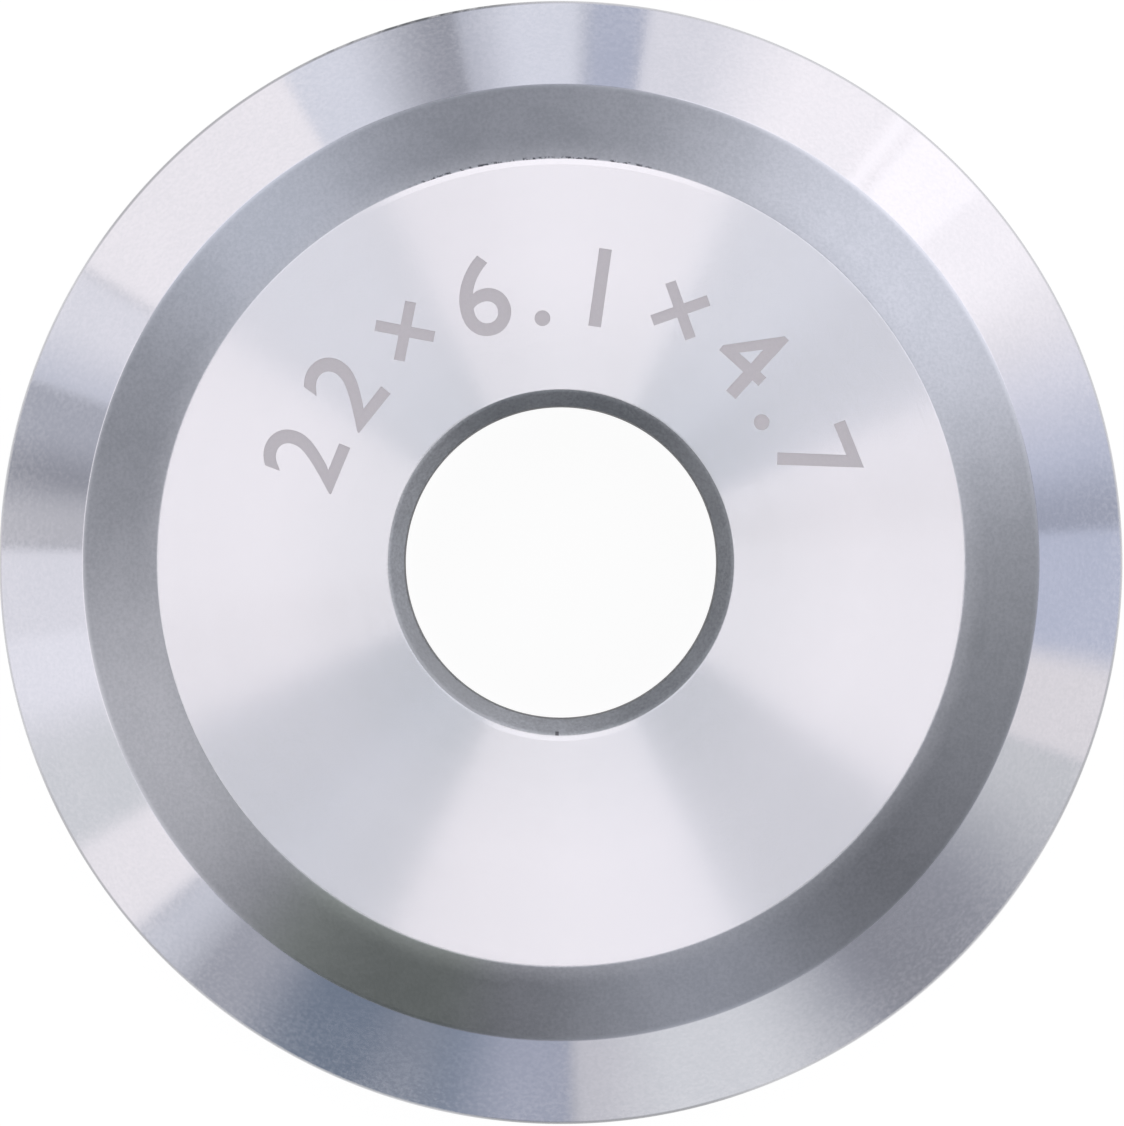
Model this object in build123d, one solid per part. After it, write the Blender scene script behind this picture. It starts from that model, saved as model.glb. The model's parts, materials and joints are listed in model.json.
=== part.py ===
from build123d import *
import math
import os

# Scoring wheel of a tile cutter, pressed, sintered and ground in one piece of hard metal.
# All sizes are in millimetres and degrees. The wheel lies on one of its two flat hub faces,
# so its axis is Z, and the origin is on the axis at the height of the cutting edge.

# Overall sizes
wheel_diameter = 22.0
wheel_thickness = 4.7

# Axle bore, with the same chamfer at both mouths
bore_diameter = 6.1
bore_chamfer = 0.3

# The two cones ground on each side: a steep bevel runs to the cutting edge, and inside it
# a flatter shoulder runs up to the hub face
edge_angle = 90.0
shoulder_width = 1.465
shoulder_angle = 24.0

# Radii that grinding and tumbling leave on the corners of the section, from the edge inwards
edge_nose_radius = 0.08
ridge_blend_radius = 0.2
hub_rim_blend_radius = 0.45
chamfer_rim_blend_radius = 0.15
bore_mouth_blend_radius = 0.05

# Heights and radii that follow from the sizes above
half_thickness = wheel_thickness / 2
bore_radius = bore_diameter / 2
edge_half_angle = math.radians(edge_angle / 2)

# The flanks would meet in a sharp point, which lies outside the rounded nose by this much
nose_setback = edge_nose_radius * (1 / math.sin(edge_half_angle) - 1)
sharp_edge_radius = wheel_diameter / 2 + nose_setback

shoulder_drop = shoulder_width * math.tan(math.radians(shoulder_angle))
ridge_height = half_thickness - shoulder_drop
bevel_width = ridge_height / math.tan(edge_half_angle)
ridge_radius = sharp_edge_radius - bevel_width
hub_radius = ridge_radius - shoulder_width


def upper_corners():
    """Corners of the section above its middle, from the bore outwards: radius, height, blend."""
    return [
        (bore_radius, half_thickness - bore_chamfer, bore_mouth_blend_radius),
        (bore_radius + bore_chamfer, half_thickness, chamfer_rim_blend_radius),
        (hub_radius, half_thickness, hub_rim_blend_radius),
        (ridge_radius, ridge_height, ridge_blend_radius),
    ]


def wheel_section():
    """Full section on one side of the axis, with every corner blended, as a face on the XZ plane."""
    upper = upper_corners()
    nose = (sharp_edge_radius, 0, edge_nose_radius)
    lower = [(radius, -height, blend) for radius, height, blend in reversed(upper)]
    corners = upper + [nose] + lower
    outline = FilletPolyline(
        [(radius, height) for radius, height, blend in corners],
        radius=[blend for radius, height, blend in corners],
        close=True,
    )
    return Plane.XZ * make_face(outline)


def cutting_wheel():
    """The whole wheel: its section turned once around the axis of the bore."""
    return revolve(wheel_section(), Axis.Z)


os.makedirs("parts", exist_ok=True)
wheel = cutting_wheel()
wheel.label = "cutting_wheel"
export_step(wheel, "parts/cutting_wheel.step")
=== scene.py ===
import json
import math

import bpy
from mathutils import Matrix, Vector


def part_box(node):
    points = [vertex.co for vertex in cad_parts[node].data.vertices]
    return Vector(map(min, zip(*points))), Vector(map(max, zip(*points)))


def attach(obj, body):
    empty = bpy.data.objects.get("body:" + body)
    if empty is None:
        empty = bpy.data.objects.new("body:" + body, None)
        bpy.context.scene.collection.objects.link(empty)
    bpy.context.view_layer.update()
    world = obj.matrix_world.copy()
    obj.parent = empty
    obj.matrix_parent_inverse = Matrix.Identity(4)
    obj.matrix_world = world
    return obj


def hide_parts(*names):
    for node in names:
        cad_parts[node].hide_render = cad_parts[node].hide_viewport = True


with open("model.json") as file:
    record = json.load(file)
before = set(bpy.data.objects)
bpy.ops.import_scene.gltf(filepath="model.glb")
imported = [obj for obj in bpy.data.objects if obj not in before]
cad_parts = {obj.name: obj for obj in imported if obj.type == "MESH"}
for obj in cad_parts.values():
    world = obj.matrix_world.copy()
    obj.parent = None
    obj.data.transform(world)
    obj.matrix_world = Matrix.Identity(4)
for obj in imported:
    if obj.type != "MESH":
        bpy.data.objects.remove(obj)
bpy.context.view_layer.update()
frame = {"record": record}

MM = 0.001


# Sizes of the wheel, in metres. What the frame knows is read from it.

low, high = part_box("cutting_wheel")
mounts = {mount["name"]: mount for mount in frame["record"]["mounts"]}

WHEEL_RADIUS = min(high.x - low.x, high.y - low.y) / 2
HALF_THICKNESS = high.z
BORE_RADIUS = mounts["bore"]["dims"]["r_mm"] * MM
BORE_CHAMFER = 0.3 * MM
EDGE_HALF_ANGLE = math.radians(90 / 2)
SHOULDER_WIDTH = 1.465 * MM
SHOULDER_ANGLE = math.radians(24)

EDGE_NOSE = 0.08 * MM
RIDGE_BLEND = 0.4 * MM
HUB_RIM_BLEND = 0.12 * MM
CHAMFER_RIM_BLEND = 0.15 * MM
BORE_MOUTH_BLEND = 0.05 * MM

SHARP_EDGE_RADIUS = WHEEL_RADIUS + EDGE_NOSE * (1 / math.sin(EDGE_HALF_ANGLE) - 1)
RIDGE_HEIGHT = HALF_THICKNESS - SHOULDER_WIDTH * math.tan(SHOULDER_ANGLE)
RIDGE_RADIUS = SHARP_EDGE_RADIUS - RIDGE_HEIGHT / math.tan(EDGE_HALF_ANGLE)
HUB_RADIUS = RIDGE_RADIUS - SHOULDER_WIDTH
CHAMFER_RADIUS = BORE_RADIUS + BORE_CHAMFER

# Fineness of the turned body, and the width of the strips that keep its flats and cones evenly shaded
SEGMENTS = 512
BLEND_STEPS = 6
SUPPORT_GAP = 0.02 * MM
MERGE_GAP = 0.0001 * MM

# Size mark etched along an arc of the upper hub face
MARK_TEXT = "22×6.1×4.7"
MARK_BASELINE_RADIUS = 4.66 * MM
MARK_HEIGHT = 1.6 * MM
MARK_DEPTH = 0.012 * MM
MARK_BOLDNESS = 0.022 * MM
MARK_SPACING = 1.2

# Height of a digit as a share of the letter size
CAPITAL_SHARE = 0.73

# Place of the photograph's frame
PIXEL = 22 * MM / 1123.4
FRAME_HEIGHT_PIXELS = 1126
CAMERA_DISTANCE = 450 * MM
WHEEL_LEFT_OF_CENTRE = 1.1 * PIXEL
WHEEL_ABOVE_CENTRE = 0.5 * PIXEL


# Helpers that build node trees

def add_node(tree, kind, sockets=None, **settings):
    """One node of a tree. Socket values that are sockets themselves are linked, and others are set."""
    node = tree.nodes.new(kind)
    for name, value in settings.items():
        setattr(node, name, value)
    for key, value in (sockets or {}).items():
        socket = node.inputs[key]
        if isinstance(value, bpy.types.NodeSocket):
            tree.links.new(value, socket)
        else:
            socket.default_value = value
    return node


def math_node(tree, operation, *values):
    """A Math node's result."""
    node = add_node(tree, "ShaderNodeMath", dict(enumerate(values)), operation=operation)
    return node.outputs[0]


def vector_node(tree, operation, *vectors, scale=None):
    """A Vector Math node's vector result. Only the SCALE operation takes a scale."""
    sockets = dict(enumerate(vectors))
    if scale is not None:
        sockets["Scale"] = scale
    return add_node(tree, "ShaderNodeVectorMath", sockets, operation=operation).outputs["Vector"]


def distance_from_axis(tree, place):
    """How far a place is from the Z axis."""
    level = vector_node(tree, "MULTIPLY", place, (1.0, 1.0, 0.0))
    return add_node(tree, "ShaderNodeVectorMath", {0: level}, operation="LENGTH").outputs["Value"]


def smooth_step(tree, value, start, end, low=0.0, high=1.0):
    """A value that runs smoothly from low, where the input is at start, to high, where it is at end."""
    sockets = {"Value": value, "From Min": start, "From Max": end, "To Min": low, "To Max": high}
    return add_node(tree, "ShaderNodeMapRange", sockets, interpolation_type="SMOOTHSTEP").outputs[0]


def mix_colours(tree, share, first, second):
    """The first colour where the share is 0 and the second where it is 1."""
    node = add_node(tree, "ShaderNodeMix", {0: share, 6: first, 7: second}, data_type="RGBA")
    return node.outputs[2]


def new_group(name, kind, inputs, outputs):
    """An empty node group with its named sockets, and its input and output nodes."""
    tree = bpy.data.node_groups.new(name, kind)
    for direction, sockets in (("INPUT", inputs), ("OUTPUT", outputs)):
        for socket_name, (socket_type, value) in sockets.items():
            socket = tree.interface.new_socket(socket_name, in_out=direction, socket_type=socket_type)
            if value is not None:
                socket.default_value = value
    return tree, tree.nodes.new("NodeGroupInput"), tree.nodes.new("NodeGroupOutput")


def use_group(tree, group, **sockets):
    """A group placed in a tree with its own values, given by the names of its inputs."""
    node = tree.nodes.new(type(tree).bl_rna.identifier.replace("NodeTree", "NodeGroup"))
    node.node_tree = group
    for name, value in sockets.items():
        socket = node.inputs[name.replace("_", " ").capitalize()]
        if isinstance(value, bpy.types.NodeSocket):
            tree.links.new(value, socket)
        else:
            socket.default_value = value
    return node


def display_colour(red, green, blue):
    """A colour given as it shows on a screen, 0 to 255, as linear red, green, blue and alpha."""
    def linear(value):
        share = value / 255
        return share / 12.92 if share <= 0.04045 else ((share + 0.055) / 1.055) ** 2.4
    return (linear(red), linear(green), linear(blue), 1.0)


# Shader groups that the finishes share

# Share of the fine grain in the tone of the metal; its clouds have the rest
FINE_SHARE = 0.7


def make_polar_place():
    """Where a point of the wheel is: its place in millimetres, its radius and its angle in degrees."""
    outputs = {
        "Place": ("NodeSocketVector", None),
        "Radius": ("NodeSocketFloat", None),
        "Angle": ("NodeSocketFloat", None),
    }
    tree, _, out = new_group("Polar place", "ShaderNodeTree", {}, outputs)
    coordinates = tree.nodes.new("ShaderNodeTexCoord")
    place = vector_node(tree, "SCALE", coordinates.outputs["Object"], scale=1 / MM)
    radius = distance_from_axis(tree, place)
    parts = add_node(tree, "ShaderNodeSeparateXYZ", {0: place})
    angle = math_node(tree, "DEGREES", math_node(tree, "ARCTAN2", parts.outputs["Y"], parts.outputs["X"]))
    for name, value in (("Place", place), ("Radius", radius), ("Angle", angle)):
        tree.links.new(value, out.inputs[name])
    return tree


def make_grain():
    """Fine mottled grain of sintered hard metal, as a tone and a height, both 0 to 1."""
    inputs = {
        "Place": ("NodeSocketVector", None),
        "Grain size": ("NodeSocketFloat", 0.06),
        "Cloud size": ("NodeSocketFloat", 1.2),
    }
    outputs = {"Tone": ("NodeSocketFloat", None), "Height": ("NodeSocketFloat", None)}
    tree, given, out = new_group("Sintered grain", "ShaderNodeTree", inputs, outputs)
    noises = {}
    for part, detail, roughness in (("Grain", 2.0, 0.6), ("Cloud", 3.0, 0.5)):
        scale = math_node(tree, "DIVIDE", 1.0, given.outputs[part + " size"])
        noises[part] = add_node(
            tree, "ShaderNodeTexNoise",
            {"Vector": given.outputs["Place"], "Scale": scale, "Detail": detail, "Roughness": roughness},
        ).outputs["Fac"]
    fine = noises["Grain"]
    clouds = math_node(tree, "MULTIPLY", noises["Cloud"], 1 - FINE_SHARE)
    tone = math_node(tree, "MULTIPLY_ADD", fine, FINE_SHARE, clouds)
    tree.links.new(tone, out.inputs["Tone"])
    tree.links.new(fine, out.inputs["Height"])
    return tree


def make_grinding_marks():
    """Circular marks of a grinding wheel: fine rings round the axis that fade in and out along their way."""
    inputs = {
        "Radius": ("NodeSocketFloat", 5.0),
        "Angle": ("NodeSocketFloat", 0.0),
        "Pitch": ("NodeSocketFloat", 0.05),
        "Reach": ("NodeSocketFloat", 40.0),
    }
    outputs = {"Tone": ("NodeSocketFloat", None)}
    tree, given, out = new_group("Grinding marks", "ShaderNodeTree", inputs, outputs)
    turn = math_node(tree, "RADIANS", given.outputs["Angle"])
    along = math_node(tree, "DIVIDE", math.degrees(1), given.outputs["Reach"])
    rings = math_node(tree, "DIVIDE", given.outputs["Radius"], given.outputs["Pitch"])
    place = add_node(
        tree, "ShaderNodeCombineXYZ",
        {
            "X": math_node(tree, "MULTIPLY", math_node(tree, "COSINE", turn), along),
            "Y": math_node(tree, "MULTIPLY", math_node(tree, "SINE", turn), along),
            "Z": rings,
        },
    ).outputs[0]
    marks = add_node(
        tree, "ShaderNodeTexNoise", {"Vector": place, "Scale": 1.0, "Detail": 3.0, "Roughness": 0.65}
    ).outputs["Fac"]
    tree.links.new(marks, out.inputs["Tone"])
    return tree


def make_grooved_normal():
    """A face's normal leaned outwards by a small amount, and swung both ways by fine circular V grooves."""
    inputs = {
        "Place": ("NodeSocketVector", None),
        "Radius": ("NodeSocketFloat", 5.0),
        "Pitch": ("NodeSocketFloat", 0.01),
        "Steepness": ("NodeSocketFloat", 0.2),
        "Lean": ("NodeSocketFloat", 0.0),
    }
    outputs = {"Normal": ("NodeSocketVector", None)}
    tree, given, out = new_group("Grooved normal", "ShaderNodeTree", inputs, outputs)
    across = math_node(tree, "DIVIDE", given.outputs["Radius"], given.outputs["Pitch"])
    groove = add_node(
        tree, "ShaderNodeTexNoise", {"W": across, "Scale": 1.0, "Detail": 0.0}, noise_dimensions="1D"
    ).outputs["Fac"]
    flank = smooth_step(tree, groove, 0.45, 0.55, -1.0, 1.0)
    spread = math_node(tree, "SUBTRACT", groove, 0.5)
    lean = math_node(
        tree, "MULTIPLY_ADD", math_node(tree, "ADD", flank, spread),
        given.outputs["Steepness"], given.outputs["Lean"],
    )
    outwards = vector_node(
        tree, "NORMALIZE", vector_node(tree, "MULTIPLY", given.outputs["Place"], (1.0, 1.0, 0.0))
    )
    face = tree.nodes.new("ShaderNodeNewGeometry").outputs["Normal"]
    leaning = vector_node(tree, "ADD", vector_node(tree, "SCALE", outwards, scale=lean), face)
    tree.links.new(vector_node(tree, "NORMALIZE", leaning), out.inputs["Normal"])
    return tree


def make_arc_band():
    """Mask of a stretch of a ring round the axis, 1 inside it and 0 outside, with soft ends and edges."""
    inputs = {
        "Radius": ("NodeSocketFloat", 5.0),
        "Angle": ("NodeSocketFloat", 0.0),
        "Inner radius": ("NodeSocketFloat", 4.0),
        "Outer radius": ("NodeSocketFloat", 6.0),
        "Edge softness": ("NodeSocketFloat", 0.02),
        "Middle": ("NodeSocketFloat", 90.0),
        "Reach": ("NodeSocketFloat", 20.0),
        "End softness": ("NodeSocketFloat", 8.0),
    }
    tree, given, out = new_group("Arc band", "ShaderNodeTree", inputs, {"Mask": ("NodeSocketFloat", None)})
    values = given.outputs
    turned = math_node(tree, "SUBTRACT", values["Angle"], values["Middle"])
    away = math_node(tree, "ABSOLUTE", math_node(tree, "WRAP", turned, 180.0, -180.0))
    in_arc = smooth_step(
        tree, away, values["Reach"], math_node(tree, "ADD", values["Reach"], values["End softness"]), 1.0, 0.0
    )
    full_from = math_node(tree, "ADD", values["Inner radius"], values["Edge softness"])
    full_to = math_node(tree, "SUBTRACT", values["Outer radius"], values["Edge softness"])
    in_ring = math_node(
        tree, "MULTIPLY",
        smooth_step(tree, values["Radius"], values["Inner radius"], full_from),
        smooth_step(tree, values["Radius"], full_to, values["Outer radius"], 1.0, 0.0),
    )
    tree.links.new(math_node(tree, "MULTIPLY", in_arc, in_ring), out.inputs["Mask"])
    return tree


POLAR_PLACE = make_polar_place()
ARC_BAND = make_arc_band()
GRAIN = make_grain()
GRINDING_MARKS = make_grinding_marks()
GROOVED_NORMAL = make_grooved_normal()


# Finishes

# The wheel's circles in millimetres, as the finishes count them
BORE_CIRCLE = BORE_RADIUS / MM
CHAMFER_CIRCLE = CHAMFER_RADIUS / MM
HUB_CIRCLE = HUB_RADIUS / MM
RIDGE_CIRCLE = RIDGE_RADIUS / MM
EDGE_CIRCLE = WHEEL_RADIUS / MM

# Roughness of each finish, from where its grain is dark to where it is pale
HUB_ROUGHNESS = (0.19, 0.21)
SHOULDER_ROUGHNESS = (0.32, 0.34)
BEVEL_ROUGHNESS = (0.06, 0.10)
BORE_ROUGHNESS = (0.58, 0.68)
MARK_ROUGHNESS = (0.6, 0.7)

# Roughness that the cutting edge has on top of the bevel's, and that the polished arcs have less than the hub
EDGE_EXTRA_ROUGHNESS = 0.25
POLISH = 0.08

# Height of the grain's relief
HUB_RELIEF = 0.0001 * MM
SHOULDER_RELIEF = 0.0008 * MM
BEVEL_RELIEF = 0.0003 * MM
BORE_RELIEF = 0.004 * MM
MARK_RELIEF = 0.002 * MM

# How metallic the two dullest surfaces are; the others are fully so
BORE_WALL_METALLIC = 0.3
MARK_METALLIC = 0.5

# Grinding grooves of the hub face: pitch in millimetres, slope of their flanks, slope of all of them outwards
GROOVE_PITCH = 0.0003
GROOVE_STEEPNESS = 0.2
GROOVE_LEAN = 0.04

# Painted shade: the hub face's colour is darkened inside this circle
SHADE_TO_CIRCLE = 6.0

# Arcs of the hub face that the grinding left smoother: inner and outer radius, middle azimuth, share
POLISHED_ARCS = [
    (HUB_CIRCLE - 0.118, HUB_CIRCLE + 0.052, 93, 0.9),
    (CHAMFER_CIRCLE - 0.05, CHAMFER_CIRCLE + 0.14, 268, 0.6),
]

# Stretches where painted shade darkens the cutting edge further: middle azimuth, reach to each side, share
SHADED_EDGE_STRETCHES = [(119, 22, 0.6), (215, 8, 0.4), (275, 9, 0.7), (341, 5, 0.4)]

# Middle azimuths of the chips beside the hub and at the edge, of the greenish tint on the shoulder, and of
# the chamfer's painted light side, painted shade and nick
HUB_CHIPS_AT = 94
EDGE_CHIPS_AT = 106
GREEN_TINT_AT = 245
CHAMFER_LIT_AT = 209
CHAMFER_SHADE_AT = 224
NICK_AT = 268.7


def metal_finish(name, anisotropic=0.0):
    """A new metal material with its polar place, ready for its own nodes."""
    material = bpy.data.materials.new(name)
    material.use_nodes = True
    tree = material.node_tree
    shader = tree.nodes["Principled BSDF"]
    shader.inputs["Metallic"].default_value = 1.0
    shader.inputs["Anisotropic"].default_value = anisotropic
    place = add_node(tree, "ShaderNodeGroup", node_tree=POLAR_PLACE)
    return material, tree, shader, place


def put_bump(tree, shader, height, depth, normal=None):
    """Raises the surface by a height from 0 to 1, of a full depth in metres, on its own or a given normal."""
    sockets = {"Height": height, "Distance": depth}
    if normal is not None:
        sockets["Normal"] = normal
    bump = add_node(tree, "ShaderNodeBump", sockets)
    tree.links.new(bump.outputs[0], shader.inputs["Normal"])


def grain_on(tree, place, grain_size, cloud_size):
    """Sintered grain with its sizes in millimetres: its height, and its tone spread out to 0 to 1."""
    grain = use_group(tree, GRAIN, place=place.outputs["Place"], grain_size=grain_size, cloud_size=cloud_size)
    return grain.outputs["Height"], smooth_step(tree, grain.outputs["Tone"], 0.3, 0.7)


def arc_on(tree, place, inner, outer, softness, middle, reach, end_softness):
    """Mask of a stretch of a ring on the wheel, with radii in millimetres and angles in degrees."""
    arc = use_group(
        tree, ARC_BAND, radius=place.outputs["Radius"], angle=place.outputs["Angle"],
        inner_radius=inner, outer_radius=outer, edge_softness=softness,
        middle=middle, reach=reach, end_softness=end_softness,
    )
    return arc.outputs["Mask"]


def chips_on(tree, place, arc, scale, detail, least, most):
    """Mask of chips along an arc, where a rough noise rises from least to most."""
    noise = add_node(
        tree, "ShaderNodeTexNoise",
        {"Vector": place.outputs["Place"], "Scale": scale, "Detail": detail, "Roughness": 0.7},
    ).outputs["Fac"]
    return math_node(tree, "MULTIPLY", arc, smooth_step(tree, noise, least, most))


def make_hub_finish():
    """Hub face, ground flat on a turning table: bright, with fine circular marks and two polished arcs."""
    material, tree, shader, place = metal_finish("ground_hub_face", anisotropic=1.0)
    shader.inputs["Anisotropic Rotation"].default_value = 0.25
    tangent = add_node(tree, "ShaderNodeTangent", direction_type="RADIAL", axis="Z")
    tree.links.new(tangent.outputs[0], shader.inputs["Tangent"])
    radius, angle = place.outputs["Radius"], place.outputs["Angle"]
    marks = use_group(tree, GRINDING_MARKS, radius=radius, angle=angle, pitch=0.04, reach=50.0)
    grain = use_group(tree, GRAIN, place=place.outputs["Place"], grain_size=0.05, cloud_size=2.5)
    tone = math_node(
        tree, "ADD",
        math_node(tree, "MULTIPLY", marks.outputs["Tone"], 0.1),
        math_node(tree, "MULTIPLY", grain.outputs["Tone"], 0.9),
    )
    spread_tone = smooth_step(tree, tone, 0.3, 0.7)
    colour = mix_colours(tree, spread_tone, display_colour(234, 234, 236), display_colour(238, 237, 239))
    # Painted shade: the hub face's colour darkens towards the middle, standing in for its darker reflection
    # there
    painted_inner_shade = smooth_step(tree, radius, CHAMFER_CIRCLE - 0.05, SHADE_TO_CIRCLE, 1.0, 0.0)
    colour = mix_colours(tree, painted_inner_shade, colour, display_colour(228, 229, 231))
    tree.links.new(colour, shader.inputs["Base Color"])

    # The grinding left the rim at the top and the mouth at the bottom smoother than the rest
    polished = 0.0
    for inner, outer, middle, share in POLISHED_ARCS:
        arc = arc_on(tree, place, inner, outer, 0.03, middle, 14.0, 18.0)
        polished = math_node(tree, "MULTIPLY_ADD", arc, share, polished)
    roughness = smooth_step(tree, tone, 0.3, 0.7, *HUB_ROUGHNESS)
    tree.links.new(math_node(tree, "MULTIPLY_ADD", polished, -POLISH, roughness), shader.inputs["Roughness"])
    grooves = use_group(
        tree, GROOVED_NORMAL, place=place.outputs["Place"], radius=radius, pitch=GROOVE_PITCH,
        steepness=math_node(tree, "MULTIPLY_ADD", polished, -GROOVE_STEEPNESS, GROOVE_STEEPNESS),
        lean=math_node(tree, "MULTIPLY_ADD", polished, -GROOVE_LEAN, GROOVE_LEAN),
    )
    put_bump(tree, shader, grain.outputs["Height"], HUB_RELIEF, grooves.outputs["Normal"])
    return material


def make_shoulder_finish():
    """Shoulder: satin and grained, with a painted highlight towards the ridge, chipped beside the hub, with a
    greenish tint at one side.
    """
    material, tree, shader, place = metal_finish("satin_shoulder")
    radius = place.outputs["Radius"]
    height, tone = grain_on(tree, place, 0.07, 1.0)
    colour = mix_colours(tree, tone, display_colour(184, 187, 191), display_colour(198, 200, 204))
    # Painted highlight: the shoulder's colour lightens towards the ridge, standing in for the ridge's
    # highlight
    painted_ridge_highlight = smooth_step(tree, radius, RIDGE_CIRCLE - 0.103, RIDGE_CIRCLE + 0.007, 0.0, 0.85)
    colour = mix_colours(tree, painted_ridge_highlight, colour, display_colour(222, 224, 227))
    # Greenish tint along one stretch of the shoulder
    green_tint_arc = arc_on(tree, place, HUB_CIRCLE - 0.018, RIDGE_CIRCLE + 0.067, 0.05, GREEN_TINT_AT, 8.0, 12.0)
    colour = mix_colours(tree, math_node(tree, "MULTIPLY", green_tint_arc, 0.5), colour, display_colour(183, 194, 178))
    chipped = arc_on(tree, place, HUB_CIRCLE - 0.068, HUB_CIRCLE + 0.062, 0.04, HUB_CHIPS_AT, 14.0, 6.0)
    chips = chips_on(tree, place, chipped, 9.0, 3.0, 0.49, 0.57)
    colour = mix_colours(tree, chips, colour, display_colour(84, 86, 92))
    tree.links.new(colour, shader.inputs["Base Color"])
    tree.links.new(smooth_step(tree, tone, 0.0, 1.0, *SHOULDER_ROUGHNESS), shader.inputs["Roughness"])

    # The cone flattens a little towards the rim of the hub
    flattened = use_group(
        tree, GROOVED_NORMAL, place=place.outputs["Place"], radius=radius,
        steepness=0.0, lean=smooth_step(tree, radius, HUB_CIRCLE - 0.018, HUB_CIRCLE + 0.482, -0.075, 0.0),
    )
    height = math_node(tree, "SUBTRACT", height, chips)
    put_bump(tree, shader, height, SHOULDER_RELIEF, flattened.outputs["Normal"])
    return material


def make_bevel_finish():
    """Bevel and cutting edge: polished, with faint grain, with painted shade along the edge that is deeper on
    some stretches, and chipped at one place.
    """
    material, tree, shader, place = metal_finish("polished_bevel")
    height, tone = grain_on(tree, place, 0.09, 1.5)
    colour = mix_colours(tree, tone, display_colour(231, 231, 233), display_colour(238, 237, 239))
    # Painted shade: the colour darkens along the cutting edge, standing in for its darker reflection there;
    # the edge is also rougher
    edge_shade_and_roughness = smooth_step(tree, place.outputs["Radius"], EDGE_CIRCLE - 0.057, EDGE_CIRCLE - 0.027)
    colour = mix_colours(tree, edge_shade_and_roughness, colour, display_colour(208, 208, 211))
    # Painted shade, deeper on some stretches of the cutting edge
    edge_stretch_shade = 0.0
    for middle, reach, share in SHADED_EDGE_STRETCHES:
        arc = arc_on(tree, place, EDGE_CIRCLE - 0.067, EDGE_CIRCLE + 0.2, 0.03, middle, reach, 9.0)
        edge_stretch_shade = math_node(tree, "MULTIPLY_ADD", arc, share, edge_stretch_shade)
    colour = mix_colours(tree, edge_stretch_shade, colour, display_colour(160, 160, 163))
    chipped = arc_on(tree, place, EDGE_CIRCLE - 0.057, EDGE_CIRCLE + 0.2, 0.03, EDGE_CHIPS_AT, 5.0, 8.0)
    chips = chips_on(tree, place, chipped, 3.0, 4.0, 0.42, 0.60)
    colour = mix_colours(tree, chips, colour, display_colour(104, 106, 110))
    tree.links.new(colour, shader.inputs["Base Color"])
    roughness = smooth_step(tree, tone, 0.0, 1.0, *BEVEL_ROUGHNESS)
    roughness = math_node(tree, "MULTIPLY_ADD", edge_shade_and_roughness, EDGE_EXTRA_ROUGHNESS, roughness)
    tree.links.new(roughness, shader.inputs["Roughness"])
    put_bump(tree, shader, height, BEVEL_RELIEF)
    return material


def make_bore_finish():
    """Bore and its chamfers: left dark from the furnace, with painted light on one side, painted shade on a
    stretch and on the wall, and a nick.
    """
    material, tree, shader, place = metal_finish("sintered_bore")
    height, tone = grain_on(tree, place, 0.06, 0.8)
    # Painted light: the chamfer is coloured lighter on one side, standing in for the light it catches there;
    # the dark and pale tones are shaded and lit copies of its finish
    turned = math_node(tree, "SUBTRACT", place.outputs["Angle"], CHAMFER_LIT_AT)
    painted_light_side = smooth_step(tree, math_node(tree, "COSINE", math_node(tree, "RADIANS", turned)), -0.1, 0.5)
    dark = mix_colours(tree, tone, display_colour(155, 158, 160), display_colour(181, 184, 186))
    pale = mix_colours(tree, tone, display_colour(193, 195, 196), display_colour(219, 221, 222))
    colour = mix_colours(tree, painted_light_side, dark, pale)
    # Painted shade: the chamfer is coloured darker along one stretch, against the light it catches there
    painted_shade_arc = arc_on(tree, place, BORE_CIRCLE - 0.05, CHAMFER_CIRCLE + 0.25, 0.03, CHAMFER_SHADE_AT, 8.0, 26.0)
    colour = mix_colours(tree, math_node(tree, "MULTIPLY", painted_shade_arc, 0.45), colour, display_colour(174, 176, 177))
    nick = arc_on(tree, place, CHAMFER_CIRCLE - 0.07, CHAMFER_CIRCLE + 0.05, 0.03, NICK_AT, 0.4, 0.4)
    colour = mix_colours(tree, nick, colour, display_colour(126, 126, 128))
    # Painted shade: the bore wall is coloured darker, standing in for the shade inside the bore; it is also
    # less metallic
    wall = smooth_step(tree, place.outputs["Radius"], BORE_CIRCLE, BORE_CIRCLE + 0.01, 1.0, 0.0)
    colour = mix_colours(tree, wall, colour, display_colour(120, 121, 123))
    metallic = math_node(tree, "MULTIPLY_ADD", wall, BORE_WALL_METALLIC - 1.0, 1.0)
    tree.links.new(metallic, shader.inputs["Metallic"])
    tree.links.new(colour, shader.inputs["Base Color"])
    tree.links.new(smooth_step(tree, tone, 0.0, 1.0, *BORE_ROUGHNESS), shader.inputs["Roughness"])
    put_bump(tree, shader, height, BORE_RELIEF)
    return material


def make_mark_finish():
    """Floor of the etched mark: matt grey."""
    material, tree, shader, place = metal_finish("etched_mark")
    height, tone = grain_on(tree, place, 0.04, 1.5)
    colour = mix_colours(tree, tone, display_colour(212, 208, 209), display_colour(220, 216, 217))
    tree.links.new(colour, shader.inputs["Base Color"])
    tree.links.new(smooth_step(tree, tone, 0.0, 1.0, *MARK_ROUGHNESS), shader.inputs["Roughness"])
    shader.inputs["Metallic"].default_value = MARK_METALLIC
    put_bump(tree, shader, height, MARK_RELIEF)
    return material


# Turned body

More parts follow.
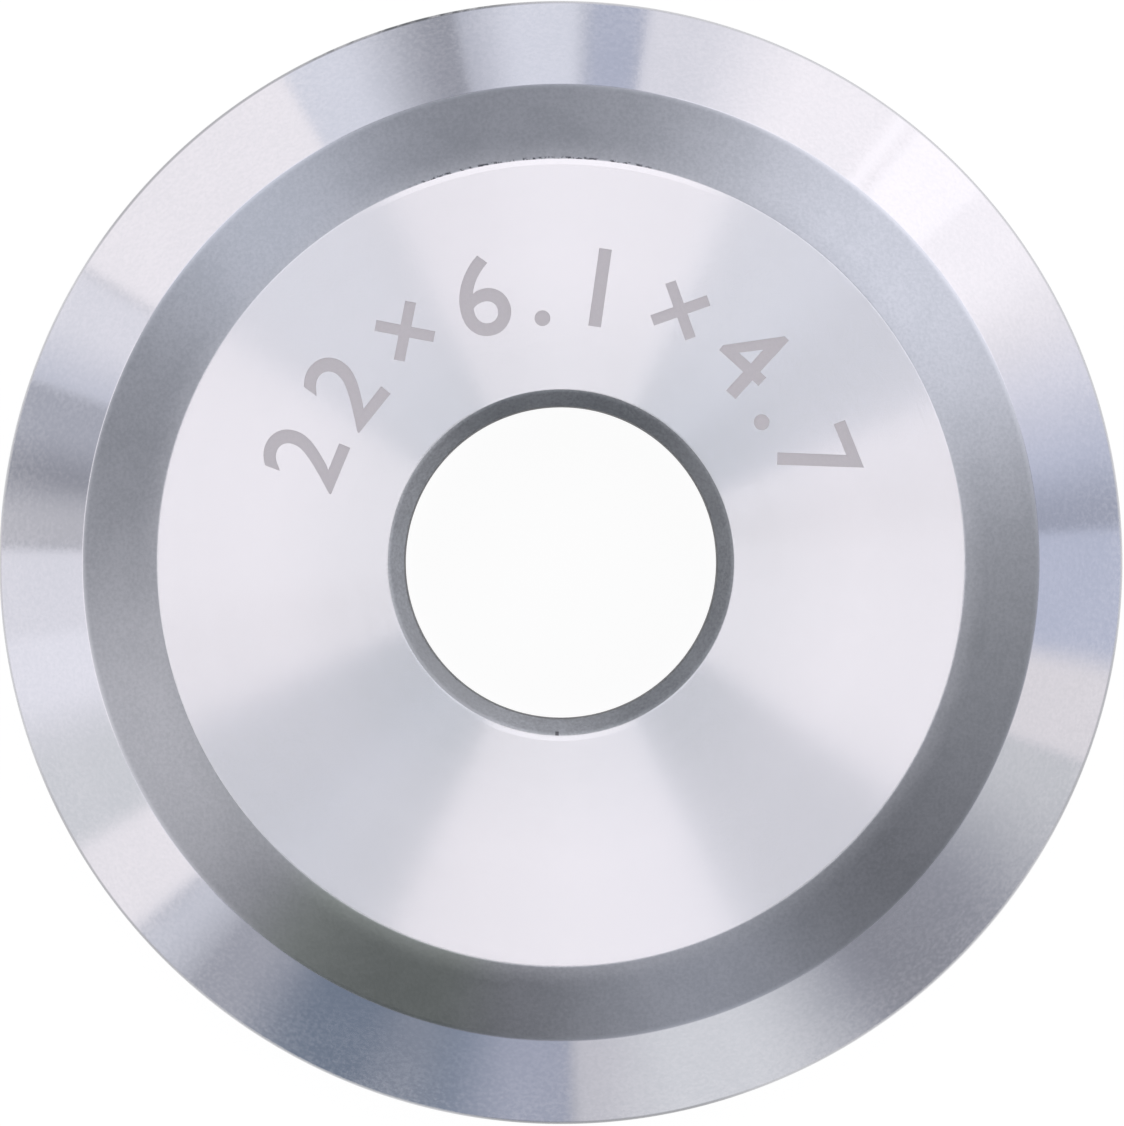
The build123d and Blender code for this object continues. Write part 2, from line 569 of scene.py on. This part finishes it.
def section_corners():
    """Corners of the wheel's section as radius, height and blend radius, once round from the bore."""
    upper = [
        (BORE_RADIUS, HALF_THICKNESS - BORE_CHAMFER, BORE_MOUTH_BLEND),
        (CHAMFER_RADIUS, HALF_THICKNESS, CHAMFER_RIM_BLEND),
        (HUB_RADIUS, HALF_THICKNESS, HUB_RIM_BLEND),
        (RIDGE_RADIUS, RIDGE_HEIGHT, RIDGE_BLEND),
    ]
    lower = [(radius, -height, blend) for radius, height, blend in reversed(upper)]
    return upper + [(SHARP_EDGE_RADIUS, 0.0, EDGE_NOSE)] + lower


def blend_reach(before, corner, after):
    """How far a corner's blend reaches along the two straight runs beside it."""
    here = Vector(corner[:2])
    turn = (here - Vector(before[:2])).angle(Vector(after[:2]) - here)
    return corner[2] * math.tan(turn / 2)


def with_support_points(corners):
    """The corners, with a point close to both ends of each straight run that keeps its shading flat."""
    count = len(corners)
    reaches = [
        blend_reach(corners[index - 1], corners[index], corners[(index + 1) % count])
        for index in range(count)
    ]
    points = []
    for index in range(count):
        start, end = Vector(corners[index][:2]), Vector(corners[(index + 1) % count][:2])
        along = (end - start).normalized()
        first = start + along * (reaches[index] + SUPPORT_GAP)
        last = end - along * (reaches[(index + 1) % count] + SUPPORT_GAP)
        points += [corners[index], (*first, 0.0), (*last, 0.0)]
    return points


def make_section_object():
    """The section as a closed loop of edges on the XZ plane, with each corner's blend radius."""
    corners = with_support_points(section_corners())
    count = len(corners)
    mesh = bpy.data.meshes.new("wheel_section")
    mesh.from_pydata(
        [(radius, 0.0, height) for radius, height, blend in corners],
        [(index, (index + 1) % count) for index in range(count)],
        [],
    )
    blends = mesh.attributes.new("blend", "FLOAT", "POINT")
    blends.data.foreach_set("value", [blend for radius, height, blend in corners])
    section = bpy.data.objects.new("wheel_section", mesh)
    bpy.context.scene.collection.objects.link(section)
    return section


def make_turning_tree():
    """Rounds the corners of a section and turns it round the Z axis, with a finish for each zone."""
    inputs = {
        "Section": ("NodeSocketGeometry", None),
        "Segments": ("NodeSocketInt", 256),
        "Blend steps": ("NodeSocketInt", 4),
        "Bevel from radius": ("NodeSocketFloat", 0.01),
        "Shoulder from radius": ("NodeSocketFloat", 0.01),
        "Hub from radius": ("NodeSocketFloat", 0.01),
        "Bevel finish": ("NodeSocketMaterial", None),
        "Shoulder finish": ("NodeSocketMaterial", None),
        "Hub finish": ("NodeSocketMaterial", None),
        "Bore finish": ("NodeSocketMaterial", None),
    }
    tree, given, out = new_group(
        "Turned body", "GeometryNodeTree", inputs, {"Body": ("NodeSocketGeometry", None)}
    )
    values = given.outputs

    outline = add_node(tree, "GeometryNodeMeshToCurve", {"Mesh": values["Section"]}).outputs[0]
    blend = add_node(tree, "GeometryNodeInputNamedAttribute", {"Name": "blend"}, data_type="FLOAT").outputs[0]
    rounded = add_node(
        tree, "GeometryNodeFilletCurve",
        {"Curve": outline, "Count": values["Blend steps"], "Radius": blend},
        mode="POLY",
    ).outputs[0]

    # A profile lies across its path, with X outwards and Y downwards
    path_radius = 1 * MM
    position = tree.nodes.new("GeometryNodeInputPosition").outputs[0]
    place = add_node(tree, "ShaderNodeSeparateXYZ", {0: position})
    across = add_node(
        tree, "ShaderNodeCombineXYZ",
        {
            "X": math_node(tree, "SUBTRACT", place.outputs["X"], path_radius),
            "Y": math_node(tree, "MULTIPLY", place.outputs["Z"], -1.0),
        },
    ).outputs[0]
    profile = add_node(tree, "GeometryNodeSetPosition", {"Geometry": rounded, "Position": across}).outputs[0]
    path = add_node(
        tree, "GeometryNodeCurvePrimitiveCircle", {"Resolution": values["Segments"], "Radius": path_radius}
    ).outputs[0]
    body = add_node(tree, "GeometryNodeCurveToMesh", {"Curve": path, "Profile Curve": profile}).outputs[0]
    body = add_node(tree, "GeometryNodeMergeByDistance", {"Geometry": body, "Distance": MERGE_GAP}).outputs[0]
    body = add_node(tree, "GeometryNodeSetShadeSmooth", {"Geometry": body}).outputs[0]

    # Each zone's finish goes on over the one inside it
    radius = distance_from_axis(tree, position)
    body = add_node(
        tree, "GeometryNodeSetMaterial", {"Geometry": body, "Material": values["Bore finish"]}
    ).outputs[0]
    for zone in ("Hub", "Shoulder", "Bevel"):
        outside = math_node(tree, "GREATER_THAN", radius, values[zone + " from radius"])
        body = add_node(
            tree, "GeometryNodeSetMaterial",
            {"Geometry": body, "Selection": outside, "Material": values[zone + " finish"]},
        ).outputs[0]
    body = add_node(tree, "GeometryNodeRealizeInstances", {"Geometry": body}).outputs[0]
    tree.links.new(body, out.inputs["Body"])
    return tree


def make_etching_tree():
    """Etches a line of text into a body's top face, with the text's feet on an arc round the axis."""
    inputs = {
        "Body": ("NodeSocketGeometry", None),
        "Text": ("NodeSocketString", ""),
        "Height": ("NodeSocketFloat", 0.001),
        "Boldness": ("NodeSocketFloat", 0.0),
        "Spacing": ("NodeSocketFloat", 1.0),
        "Baseline radius": ("NodeSocketFloat", 0.005),
        "Face height": ("NodeSocketFloat", 0.002),
        "Depth": ("NodeSocketFloat", 0.00001),
        "Mark finish": ("NodeSocketMaterial", None),
    }
    tree, given, out = new_group(
        "Etched text", "GeometryNodeTree", inputs, {"Body": ("NodeSocketGeometry", None)}
    )
    values = given.outputs
    position = tree.nodes.new("GeometryNodeInputPosition").outputs[0]

    letters = add_node(
        tree, "GeometryNodeStringToCurves",
        {
            "String": values["Text"],
            "Size": math_node(tree, "DIVIDE", values["Height"], CAPITAL_SHARE),
            "Character Spacing": values["Spacing"],
        },
        align_x="CENTER", pivot_mode="BOTTOM_CENTER",
    )

    # Each character is brought to the top of the arc, then turned round the axis to its own place
    middle = vector_node(tree, "ADD", position, letters.outputs["Pivot Point"])
    across = add_node(tree, "ShaderNodeSeparateXYZ", {0: middle}).outputs["X"]
    counted = add_node(
        tree, "GeometryNodeStoreNamedAttribute",
        {"Geometry": letters.outputs["Curve Instances"], "Name": "across", "Value": across},
        data_type="FLOAT", domain="INSTANCE",
    ).outputs[0]
    across = add_node(
        tree, "GeometryNodeInputNamedAttribute", {"Name": "across"}, data_type="FLOAT"
    ).outputs[0]
    to_top = add_node(
        tree, "ShaderNodeCombineXYZ",
        {"X": math_node(tree, "MULTIPLY", across, -1.0), "Y": values["Baseline radius"]},
    ).outputs[0]
    stacked = add_node(
        tree, "GeometryNodeTranslateInstances",
        {"Instances": counted, "Translation": to_top, "Local Space": False},
    ).outputs[0]
    turn = add_node(
        tree, "ShaderNodeCombineXYZ",
        {
            "Z": math_node(
                tree, "DIVIDE", math_node(tree, "MULTIPLY", across, -1.0), values["Baseline radius"]
            ),
        },
    ).outputs[0]
    on_arc = add_node(
        tree, "GeometryNodeRotateInstances",
        {"Instances": stacked, "Rotation": turn, "Pivot Point": (0.0, 0.0, 0.0), "Local Space": False},
    ).outputs[0]
    outlines = add_node(tree, "GeometryNodeRealizeInstances", {"Geometry": on_arc}).outputs[0]
    outlines = add_node(
        tree, "GeometryNodeResampleCurve", {"Curve": outlines}, mode="EVALUATED"
    ).outputs[0]

    # The letters as thick plates, and a square bar along their outlines that makes the strokes bolder
    tall = math_node(tree, "MULTIPLY", values["Depth"], 2.0)
    floor_height = math_node(tree, "SUBTRACT", values["Face height"], values["Depth"])
    face = add_node(tree, "GeometryNodeFillCurve", {0: outlines}, mode="NGONS").outputs[0]
    plate = add_node(
        tree, "GeometryNodeExtrudeMesh",
        {"Mesh": face, "Offset": (0.0, 0.0, 1.0), "Offset Scale": tall, "Individual": False},
        mode="FACES",
    ).outputs["Mesh"]
    back = add_node(tree, "GeometryNodeFlipFaces", {"Mesh": face}).outputs[0]
    closed = tree.nodes.new("GeometryNodeJoinGeometry")
    tree.links.new(plate, closed.inputs[0])
    tree.links.new(back, closed.inputs[0])
    plates = add_node(
        tree, "GeometryNodeMergeByDistance", {"Geometry": closed.outputs[0], "Distance": MERGE_GAP}
    ).outputs[0]
    bar = add_node(
        tree, "GeometryNodeCurvePrimitiveQuadrilateral",
        {"Width": math_node(tree, "MULTIPLY", values["Boldness"], 2.0), "Height": tall},
    ).outputs[0]
    bars = add_node(tree, "GeometryNodeCurveToMesh", {"Curve": outlines, "Profile Curve": bar}).outputs[0]
    half_tall = add_node(
        tree, "ShaderNodeCombineXYZ", {"Z": math_node(tree, "MULTIPLY", tall, 0.5)}
    ).outputs[0]
    bars = add_node(tree, "GeometryNodeSetPosition", {"Geometry": bars, "Offset": half_tall}).outputs[0]
    pieces = tree.nodes.new("GeometryNodeJoinGeometry")
    tree.links.new(plates, pieces.inputs[0])
    tree.links.new(bars, pieces.inputs[0])
    cutter = add_node(
        tree, "GeometryNodeMeshBoolean", {"Mesh 2": pieces.outputs[0], "Self Intersection": True},
        operation="UNION", solver="EXACT",
    ).outputs["Mesh"]
    lift = add_node(tree, "ShaderNodeCombineXYZ", {"Z": floor_height}).outputs[0]
    cutter = add_node(tree, "GeometryNodeSetPosition", {"Geometry": cutter, "Offset": lift}).outputs[0]
    cutter = add_node(
        tree, "GeometryNodeSetMaterial", {"Geometry": cutter, "Material": values["Mark finish"]}
    ).outputs[0]

    etched = add_node(
        tree, "GeometryNodeMeshBoolean", {"Mesh 1": values["Body"], "Mesh 2": cutter},
        operation="DIFFERENCE", solver="EXACT",
    ).outputs["Mesh"]
    edge_angle = tree.nodes.new("GeometryNodeInputMeshEdgeAngle").outputs["Unsigned Angle"]
    sharp = math_node(tree, "GREATER_THAN", edge_angle, math.radians(30))
    etched = add_node(
        tree, "GeometryNodeSetShadeSmooth",
        {"Geometry": etched, "Selection": sharp, "Shade Smooth": False}, domain="EDGE",
    ).outputs[0]
    etched = add_node(tree, "GeometryNodeRealizeInstances", {"Geometry": etched}).outputs[0]
    tree.links.new(etched, out.inputs["Body"])
    return tree


def use_modifier(piece, tree, **values):
    """Puts a geometry tree on a piece with its own values, given by the names of the tree's inputs."""
    modifier = piece.modifiers.new(tree.name, "NODES")
    modifier.node_group = tree
    sockets = {item.name: item.identifier for item in tree.interface.items_tree if item.in_out == "INPUT"}
    for name, value in values.items():
        modifier[sockets[name.replace("_", " ").capitalize()]] = value


def make_wheel():
    """The whole wheel, turned from its section and etched with its size, as one closed mesh."""
    draft = make_section_object()
    use_modifier(
        draft, make_turning_tree(),
        segments=SEGMENTS, blend_steps=BLEND_STEPS,
        bevel_from_radius=RIDGE_RADIUS,
        shoulder_from_radius=HUB_RADIUS,
        hub_from_radius=CHAMFER_RADIUS + CHAMFER_RIM_BLEND / 10,
        bevel_finish=make_bevel_finish(),
        shoulder_finish=make_shoulder_finish(),
        hub_finish=make_hub_finish(),
        bore_finish=make_bore_finish(),
    )
    use_modifier(
        draft, make_etching_tree(),
        text=MARK_TEXT, height=MARK_HEIGHT, boldness=MARK_BOLDNESS, spacing=MARK_SPACING,
        baseline_radius=MARK_BASELINE_RADIUS, face_height=HALF_THICKNESS, depth=MARK_DEPTH,
        mark_finish=make_mark_finish(),
    )
    bpy.context.view_layer.update()
    mesh = bpy.data.meshes.new_from_object(draft.evaluated_get(bpy.context.evaluated_depsgraph_get()))
    mesh.name = "ground_wheel"
    wheel = bpy.data.objects.new("ground_wheel", mesh)
    bpy.context.scene.collection.objects.link(wheel)
    bpy.data.objects.remove(draft)
    return wheel


wheel = make_wheel()
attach(wheel, "root")
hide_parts("cutting_wheel")


# Studio

# Floor, and how much of the wheel's shadow it keeps beside and beneath the wheel
FLOOR_RADIUS = 60 * MM
FLOOR_STEPS = 96
SHADOW_RADIUS = WHEEL_RADIUS * 1.4
FLOOR_SHADOW_SHARE = 0.1
SHADOW_SHARE_BENEATH = 0.7

# Light tent, and the tints of its light as red, green and blue
TENT_RADIUS = 800 * MM
TENT_STEPS = 720
WHITE = (1.03, 1.0, 1.05)
PALE = (1.0, 1.0, 1.09)
MILD = (0.975, 1.0, 1.12)
COOL = (0.97, 1.0, 1.15)
BLUE = (0.94, 1.0, 1.24)
DEEP = (0.83, 1.0, 1.32)
GREY = (0.98, 1.0, 1.06)
DULL = (0.96, 1.0, 0.99)

# Level and tint of the cover of each band of the tent: its wall, the rail above that, the shoulder that
# the wheel's own shoulder reflects, and the roof
WALL_COVER = (0.36, COOL)
RAIL_COVER = (0.34, COOL)
SHOULDER_COVER = (0.285, MILD)
ROOF_COVER = (0.79, COOL)

# Soft boxes of each band, with later ones in front: start and end azimuth, softness of the start and of
# the end in degrees, level, tint
WALL_BOXES = [
    (339, 385, 1, 10, 0.58, BLUE),
    (3.5, 9, 1, 8, 0.42, BLUE),
    (21.7, 81, 28, 2, 1.08, WHITE),
    (53, 70, 1, 4, 1.045, WHITE),
    (69, 81, 14, 2, 0.82, PALE),
    (41.5, 53, 1, 1, 1.17, WHITE),
    (50.5, 51.5, 1, 1, 1.0, WHITE),
    (81, 87.5, 2, 3, 0.53, BLUE),
    (87.5, 101, 3, 1, 0.80, MILD),
    (97.5, 101, 7, 1, 0.56, COOL),
    (101, 110, 1, 8, 0.37, COOL),
    (108.5, 120, 12, 1, 0.79, MILD),
    (119.7, 148.5, 1, 2, 0.96, WHITE),
    (148.5, 161, 2, 1, 0.84, PALE),
    (157, 161, 8, 1, 0.66, COOL),
    (161, 172.5, 1, 1, 0.465, COOL),
    (168, 172.5, 6, 1, 0.33, COOL),
    (172.5, 178.5, 6, 2, 0.56, PALE),
    (178.5, 221, 1, 1, 0.82, PALE),
    (188, 197, 2, 8, 0.90, PALE),
    (198.5, 211, 9, 1, 0.735, GREY),
    (210.5, 221, 3, 3, 0.925, WHITE),
    (221, 227.5, 3, 9, 0.66, MILD),
    (228.5, 240, 1, 8, 0.41, COOL),
    (237, 252, 10, 12, 0.23, DEEP),
    (254, 266, 12, 10, 0.26, DEEP),
    (260.5, 271.3, 10, 1, 0.43, BLUE),
    (271.3, 282, 2, 10, 0.62, PALE),
    (278, 299, 10, 18, 0.755, GREY),
    (306, 319, 8, 18, 0.295, COOL),
    (328, 339, 18, 1, 0.65, GREY),
    (339, 349.5, 1, 4, 0.795, WHITE),
]
RAIL_BOXES = [
    (18, 79, 16, 8, 1.1, PALE),
    (119, 147, 8, 8, 0.95, COOL),
    (150, 204, 8, 10, 1.1, WHITE),
    (204, 222, 10, 6, 0.9, PALE),
    (236, 266, 12, 12, 0.2, COOL),
    (280, 299, 12, 12, 0.65, GREY),
]
SHOULDER_BOXES = [
    (338, 372, 20, 20, 0.29, GREY),
    (16, 68, 24, 22, 1.36, PALE),
    (72, 93, 16, 8, 0.35, MILD),
    (101, 113, 8, 8, 0.22, COOL),
    (119, 143.5, 14, 14, 1.12, MILD),
    (184, 223, 18, 14, 0.89, WHITE),
    (231, 269, 12, 18, 0.036, DULL),
    (279, 299, 12, 8, 0.57, COOL),
    (302, 328, 8, 24, 0.066, MILD),
]
ROOF_BOXES = [
    (-36, 23, 4, 3, 1.14, WHITE),
    (1, 23, 8, 3, 1.37, WHITE),
    (50, 64.5, 12, 2, 0.44, COOL),
    (64.5, 115.5, 2, 3, 1.03, WHITE),
    (74, 115.5, 8, 3, 1.10, WHITE),
    (115.5, 146.5, 3, 3, 0.89, PALE),
    (146.5, 206, 3, 2, 1.13, WHITE),
    (184, 206, 18, 2, 0.52, WHITE),
    (206, 245.5, 2, 4, 0.405, DULL),
    (227, 245, 16, 4, 1.07, GREY),
    (245.5, 296, 4, 3, 1.23, WHITE),
    (278, 296, 12, 3, 1.10, WHITE),
    (296, 324, 3, 4, 0.69, GREY),
]

# Rings of the tent from its foot to its top: elevation, cover, soft boxes
TENT_RINGS = [
    (-8, WALL_COVER, WALL_BOXES),
    (14, WALL_COVER, WALL_BOXES),
    (19, RAIL_COVER, RAIL_BOXES),
    (25, SHOULDER_COVER, SHOULDER_BOXES),
    (50, SHOULDER_COVER, SHOULDER_BOXES),
    (56, ROOF_COVER, ROOF_BOXES),
    (70, ROOF_COVER, ROOF_BOXES),
    (89.8, ROOF_COVER, ROOF_BOXES),
]


def make_floor():
    """Pale round floor under the wheel, nearly white to the camera and the metal, with its shadow kept."""
    material = bpy.data.materials.new("pale_floor")
    material.use_nodes = True
    tree = material.node_tree
    shader = tree.nodes["Principled BSDF"]
    shader.inputs["Base Color"].default_value = (0.9, 0.9, 0.9, 1.0)
    shader.inputs["Roughness"].default_value = 1.0
    path = tree.nodes.new("ShaderNodeLightPath").outputs
    seen = math_node(
        tree, "MAXIMUM", path["Is Camera Ray"],
        math_node(tree, "MAXIMUM", path["Is Glossy Ray"], path["Is Transmission Ray"]),
    )
    white = add_node(tree, "ShaderNodeEmission", {"Strength": 1 + FLOOR_SHADOW_SHARE / 2})
    away = distance_from_axis(tree, tree.nodes.new("ShaderNodeTexCoord").outputs["Object"])
    around = smooth_step(tree, away, WHEEL_RADIUS, SHADOW_RADIUS, FLOOR_SHADOW_SHARE, 0.0)
    beneath = math_node(
        tree, "MULTIPLY",
        smooth_step(tree, away, BORE_RADIUS, CHAMFER_RADIUS, 0.0, SHADOW_SHARE_BENEATH - FLOOR_SHADOW_SHARE),
        smooth_step(tree, away, HUB_RADIUS, WHEEL_RADIUS, 1.0, 0.0),
    )
    share = math_node(
        tree, "MULTIPLY", seen, math_node(tree, "SUBTRACT", 1.0, math_node(tree, "ADD", around, beneath))
    )
    mixed = add_node(
        tree, "ShaderNodeMixShader", {0: share, 1: shader.outputs[0], 2: white.outputs[0]}
    )
    tree.links.new(mixed.outputs[0], tree.nodes["Material Output"].inputs["Surface"])

    mesh = bpy.data.meshes.new("studio_floor")
    floor = bpy.data.objects.new("studio_floor", mesh)
    bpy.context.scene.collection.objects.link(floor)
    turns = [2 * math.pi * step / FLOOR_STEPS for step in range(FLOOR_STEPS)]
    corners = [
        (FLOOR_RADIUS * math.cos(turn), FLOOR_RADIUS * math.sin(turn), -HALF_THICKNESS) for turn in turns
    ]
    mesh.from_pydata(corners, [], [list(range(FLOOR_STEPS))])
    mesh.materials.append(material)


def soft_edge(distance, softness):
    """0 well outside an edge and 1 well inside it, for a distance inwards from it."""
    share = min(max(distance / softness + 0.5, 0.0), 1.0)
    return share * share * (3 - 2 * share)


def tent_light(azimuth, cover, boxes):
    """Light of a band of the tent at an azimuth: its cover with each soft box in front of the ones before."""
    level, tint = cover
    light = Vector(tint) * level
    for start, end, start_softness, end_softness, level, tint in boxes:
        middle = (start + end) / 2
        away = (azimuth - middle + 180) % 360 - 180
        after_start = soft_edge(away + middle - start, start_softness)
        before_end = soft_edge(end - middle - away, end_softness)
        light = light.lerp(Vector(tint) * level, after_start * before_end)
    return light


def make_light_tent():
    """Round light tent: a dome whose walls and roof are hung with soft boxes. The camera looks through it."""
    mesh = bpy.data.meshes.new("light_tent")
    steps = [360 * step / TENT_STEPS for step in range(TENT_STEPS)]
    corners, lights = [], []
    for elevation, cover, boxes in TENT_RINGS:
        ring_radius = TENT_RADIUS * math.cos(math.radians(elevation))
        height = TENT_RADIUS * math.sin(math.radians(elevation))
        for azimuth in steps:
            turn = math.radians(azimuth)
            corners.append((ring_radius * math.cos(turn), ring_radius * math.sin(turn), height))
            lights.append(tent_light(azimuth, cover, boxes))
    faces = [
        (
            ring * TENT_STEPS + step, (ring + 1) * TENT_STEPS + step,
            (ring + 1) * TENT_STEPS + (step + 1) % TENT_STEPS, ring * TENT_STEPS + (step + 1) % TENT_STEPS,
        )
        for ring in range(len(TENT_RINGS) - 1)
        for step in range(TENT_STEPS)
    ]
    mesh.from_pydata(corners, [], faces)
    glow = mesh.attributes.new("glow", "FLOAT_VECTOR", "POINT")
    glow.data.foreach_set("vector", [value for light in lights for value in light])

    material = bpy.data.materials.new("glowing_cover")
    material.use_nodes = True
    material.cycles.emission_sampling = "NONE"
    tree = material.node_tree
    tree.nodes.remove(tree.nodes["Principled BSDF"])
    colour = add_node(tree, "ShaderNodeAttribute", attribute_name="glow").outputs["Vector"]
    emission = add_node(tree, "ShaderNodeEmission", {"Color": colour, "Strength": 1.0}).outputs[0]
    tree.links.new(emission, tree.nodes["Material Output"].inputs["Surface"])
    mesh.materials.append(material)

    tent = bpy.data.objects.new("light_tent", mesh)
    bpy.context.scene.collection.objects.link(tent)
    tent.visible_camera = False
    tent.visible_shadow = False


def make_white_background():
    """Plain white world behind the floor."""
    world = bpy.data.worlds.new("white_background")
    bpy.context.scene.world = world
    world.use_nodes = True
    world.node_tree.nodes["Background"].inputs["Color"].default_value = (1.0, 1.0, 1.0, 1.0)


def make_camera():
    """Camera straight above the wheel, with the photograph's frame."""
    camera_data = bpy.data.cameras.new("camera")
    camera = bpy.data.objects.new("camera", camera_data)
    bpy.context.scene.collection.objects.link(camera)
    bpy.context.scene.camera = camera
    half_frame = FRAME_HEIGHT_PIXELS * PIXEL / 2
    camera_data.lens = camera_data.sensor_width / 2 * CAMERA_DISTANCE / half_frame
    camera_data.clip_start = CAMERA_DISTANCE / 10
    camera_data.clip_end = CAMERA_DISTANCE * 10
    camera.location = (WHEEL_LEFT_OF_CENTRE, -WHEEL_ABOVE_CENTRE, CAMERA_DISTANCE)


make_floor()
make_light_tent()
make_white_background()
make_camera()
bpy.context.scene.view_settings.view_transform = "Standard"
